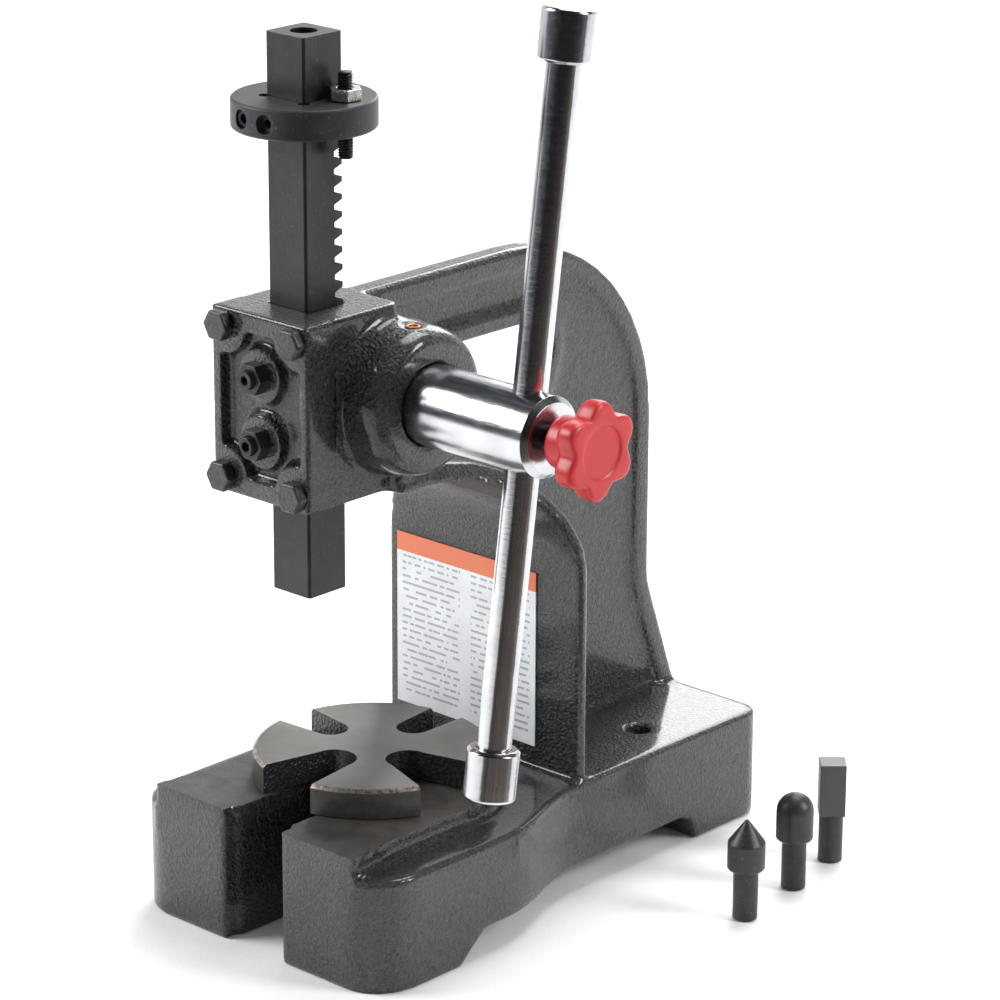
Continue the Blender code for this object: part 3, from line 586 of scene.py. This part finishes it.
def threaded(node, material, axis, pitch, depth):
    """A stud with a helical thread along the axis it lies on."""
    low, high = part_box(node)
    middle, reach = (low + high) / 2, (high - low)[axis] / 2
    radius = (high - low)[(axis + 1) % 3] / 2
    around, rows = 40, int(2 * reach / pitch * 10)
    rings = []
    for row in range(rows + 1):
        along = -reach + 2 * reach * row / rows
        chamfer = min(reach - abs(along), 0.9 * pitch) / (0.9 * pitch)
        ring = []
        for spot in range(around):
            angle = 2 * math.pi * spot / around
            wave = (along / pitch - angle / (2 * math.pi)) % 1
            flank = min(1.0, 1.25 * abs(2 * wave - 1))
            size = radius - depth * (1 - flank) - 0.6 * depth * (1 - chamfer)
            point = [0.0, 0.0, 0.0]
            point[axis] = along
            point[(axis + 1) % 3] = size * math.cos(angle)
            point[(axis + 2) % 3] = size * math.sin(angle)
            ring.append(middle + Vector(point))
        rings.append(ring)
    along_axis = Vector([reach if index == axis else 0.0 for index in range(3)])
    skin = rings_mesh(node + "_look", [[middle - along_axis], *rings, [middle + along_axis]])
    obj = piece(node, skin, material)
    settle(obj, 50)
    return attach(obj, BODY_OF[node])


def knob_look(red):
    """The moulded knob: a round neck that opens into six lobes round a sunken face."""
    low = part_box("clamp_knob")[0]
    lobes, around = 6, 144
    # (distance from the neck's end, mean radius, lobe height)
    profile = [(0.0, 0.0056, 0), (0.0, 0.0108, 0), (0.0005, 0.0116, 0), (0.0014, 0.0119, 0),
               (0.0080, 0.0119, 0), (0.0095, 0.0122, 0.0003), (0.0104, 0.0134, 0.0009),
               (0.0114, 0.0158, 0.0016), (0.0125, 0.0176, 0.0021), (0.0140, 0.0190, 0.0023),
               (0.0155, 0.0195, 0.0024), (0.0208, 0.0197, 0.0025), (0.0222, 0.0195, 0.0024),
               (0.0229, 0.0189, 0.0022), (0.0233, 0.0177, 0.0021), (0.0233, 0.0150, 0.0008),
               (0.0233, 0.0124, 0), (0.0230, 0.0119, 0), (0.0226, 0.0115, 0), (0.0226, 0.0108, 0)]
    rings = []
    for along, radius, height in profile:
        ring = []
        for spot in range(around):
            angle = 2 * math.pi * spot / around
            wave = math.cos(lobes * angle)
            size = radius + height * (wave + 0.18 * (1 - math.cos(2 * lobes * angle)) / 2)
            turn = angle + KNOB_TURN
            ring.append((low.x + along, HUB.y + size * math.sin(turn), HUB.z + size * math.cos(turn)))
        rings.append(ring)
    bore_end, face = low.x + 0.010, low.x + profile[-1][0]
    bore = [(bore_end, y, z) for _, y, z in rings[0]]
    mesh = rings_mesh("clamp_knob_look", [[(bore_end, HUB.y, HUB.z)], bore, *rings, [(face, HUB.y, HUB.z)]])
    obj = piece("clamp_knob", mesh, red)
    subdivide = obj.modifiers.new("smooth", "SUBSURF")
    subdivide.levels = subdivide.render_levels = 1
    settle(obj, 0)
    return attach(obj, "knob")


def plate_look(ground, chamfer, side, wall):
    """The anvil plate, with a finish of its own on the top, the chamfer and the rim, and the slot walls near black
    as painted shade.
    """
    obj = machined("anvil_plate", ground, 0.0005, 2)
    mesh = obj.data
    for material in (chamfer, side, wall):
        mesh.materials.append(material)
    low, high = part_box("anvil_plate")
    rim = (high.x - low.x) / 2
    chamfer_z, chamfer_from = high.z - 0.0017, 0.052
    side_from, side_facing = rim - 0.0025, 0.8
    for polygon in mesh.polygons:
        out = (Vector(polygon.center) - PLATE).xy.length
        if polygon.normal.z > 0.9:
            polygon.material_index = 0
        elif polygon.center.z > chamfer_z and out > chamfer_from and polygon.normal.z > 0.3:
            polygon.material_index = 1
        else:
            outward = Vector((polygon.center.x - PLATE.x, polygon.center.y - PLATE.y)).normalized()
            facing = outward.dot(Vector(polygon.normal).xy)
            polygon.material_index = 2 if out > side_from and facing > side_facing else 3
    return obj


# Stage ----------------------------------------------------------------------------------------


def build_camera():
    data = bpy.data.cameras.new("camera")
    data.sensor_width = 36
    data.lens = CAMERA_LENS
    camera = bpy.data.objects.new("camera", data)
    bpy.context.scene.collection.objects.link(camera)
    turn = Matrix.Rotation(CAMERA_AZIMUTH, 4, "Z") @ Matrix.Rotation(math.pi / 2 - CAMERA_ELEVATION, 4, "X")
    turn = turn @ Matrix.Rotation(CAMERA_ROLL, 4, "Z")
    back = Matrix.Translation((0, 0, CAMERA_DISTANCE))
    camera.matrix_world = Matrix.Translation(CAMERA_TARGET) @ turn @ back
    bpy.context.scene.camera = camera


def softbox(name, place, size, power):
    data = bpy.data.lights.new(name, "AREA")
    data.shape = "RECTANGLE"
    data.size, data.size_y = size
    data.energy = power
    light = bpy.data.objects.new(name, data)
    bpy.context.scene.collection.objects.link(light)
    light.location = place
    light.rotation_mode = "QUATERNION"
    light.rotation_quaternion = (LIGHT_TARGET - Vector(place)).to_track_quat("-Z", "Y")


def build_world():
    """White to the camera, an even glow as fill light, and a dark room with a white sweep in reflections."""
    world = bpy.data.worlds.new("studio")
    world.use_nodes = True
    nodes = Nodes(world.node_tree)
    facing = nodes.add("VectorMath")
    facing.operation = "DOT_PRODUCT"
    nodes.put(nodes.add("TexCoord").outputs["Generated"], facing.inputs[0])
    facing.inputs[1].default_value = (math.sin(CAMERA_AZIMUTH) * math.cos(ROOM_RISE),
                                      -math.cos(CAMERA_AZIMUTH) * math.cos(ROOM_RISE), math.sin(ROOM_RISE))
    share = nodes.math("MULTIPLY_ADD", facing.outputs["Value"], 0.5, 0.5)
    sweep, shade, dark = (0.95, 0.97, 1.0), (0.05, 0.06, 0.08), (0.012, 0.012, 0.014)
    room = nodes.ramp(share, (0.40, sweep), (0.47, shade), (0.75, dark))
    rays = nodes.add("LightPath").outputs
    shown = nodes.mix(rays["Is Camera Ray"], nodes.mix(rays["Is Glossy Ray"], GLOW, room), (1.0, 1.0, 1.0))
    nodes.put(shown, world.node_tree.nodes["Background"].inputs["Color"])
    bpy.context.scene.world = world


def dark_floor():
    """A sheet on the camera's side of the floor that only reflections see: the dark end of the room."""
    rings = [[], []]
    for part in range(DARK_PARTS + 1):
        turn = CAMERA_AZIMUTH + DARK_FROM + (DARK_TO - DARK_FROM) * part / DARK_PARTS
        for ring, reach in zip(rings, (DARK_NEAR, DARK_FAR)):
            ring.append(Vector((BAR_X + reach * math.sin(turn), HUB.y - reach * math.cos(turn), 0.001)))
    mesh = bpy.data.meshes.new("dark_floor")
    count = DARK_PARTS + 1
    mesh.from_pydata([*rings[0], *rings[1]], [],
                     [(k, k + 1, k + 1 + count, k + count) for k in range(DARK_PARTS)])
    mesh.materials.append(dark_cloth())
    sheet = bpy.data.objects.new("dark_floor", mesh)
    bpy.context.scene.collection.objects.link(sheet)
    for ray in ("camera", "diffuse", "shadow", "transmission", "volume_scatter"):
        setattr(sheet, "visible_" + ray, False)


def build_stage():
    bm = bmesh.new()
    bmesh.ops.create_grid(bm, x_segments=1, y_segments=1, size=FLOOR_REACH)
    mesh = bpy.data.meshes.new("floor")
    bm.to_mesh(mesh)
    bm.free()
    mesh.materials.append(floor_paper())
    floor = bpy.data.objects.new("floor", mesh)
    floor.location = (0, 0, -0.0002)
    bpy.context.scene.collection.objects.link(floor)

    build_world()
    dark_floor()
    softbox("key", (-1.5, -1.2, 1.35), (1.1, 1.0), 46)
    softbox("side", (1.9, 0.9, 1.3), (0.7, 1.0), 40)
    softbox("top", (-0.2, 0.8, 2.2), (1.2, 1.2), 34)
    softbox("rim", (-0.9, 1.9, 1.2), (1.2, 1.0), 24)
    bpy.context.scene.view_settings.view_transform = "Standard"


def main():
    build_camera()
    build_stage()
    paint, iron = hammered_paint(), bare_iron()
    ram_steel = blued_steel("blued_ram", (0.006, 0.007, 0.008), (0.016, 0.017, 0.018), 0.28, 0.44)
    collar_steel = blued_steel("blued_collar", (0.020, 0.022, 0.025), (0.036, 0.038, 0.042), 0.36, 0.52,
                               (0.2, 0.2, 1))
    screw_steel = blued_steel("blued_screws", (0.005, 0.005, 0.005), (0.013, 0.013, 0.013), 0.26, 0.42,
                              (1, 1, 1))
    tool_steel = blued_steel("blued_tools", (0.020, 0.020, 0.018), (0.038, 0.036, 0.033), 0.32, 0.48,
                             (1, 1, 0.1))
    bolt_paint = smooth_paint()
    bright = chrome()

    casting_look(paint, iron)
    cover_look(paint)
    for node in NODES:
        if node.startswith("cover_bolt"):
            machined(node, bolt_paint, 0.0019, 4)
        elif node.startswith(("gib_lock_nut", "gib_screw", "collar_set_screw", "shaft_end")):
            machined(node, screw_steel, 0.0004)
        elif node.startswith("nose_tool"):
            machined(node, tool_steel, 0.0004)
        elif node.startswith("handle_cap"):
            machined(node, bright, 0.0003, 2, 20)
    machined("gib", ram_steel, 0.0003)
    machined("ram", ram_steel, 0.0002)
    machined("stop_collar", collar_steel, 0.0003)
    machined("stop_nut", bright_zinc(), 0.0005)
    machined("pinion_shaft", bright, 0.0005, 3)
    machined("handle_bar", bright, 0.0004)
    threaded("stop_stud", screw_steel, 2, 0.00125, 0.0006)
    threaded("clamp_stud", screw_steel, 0, 0.0015, 0.0007)
    knob_look(red_plastic())
    plate_look(ground_steel(), chamfer_steel(), sawn_side(), rough_wall())
    machined("oiler_ring", brass(), 0.0003)
    machined("oiler_ball", bright, 0.0001, 1, 60)
    NODES["label_plate"].data.materials.clear()
    NODES["label_plate"].data.materials.append(printed_label())


main()
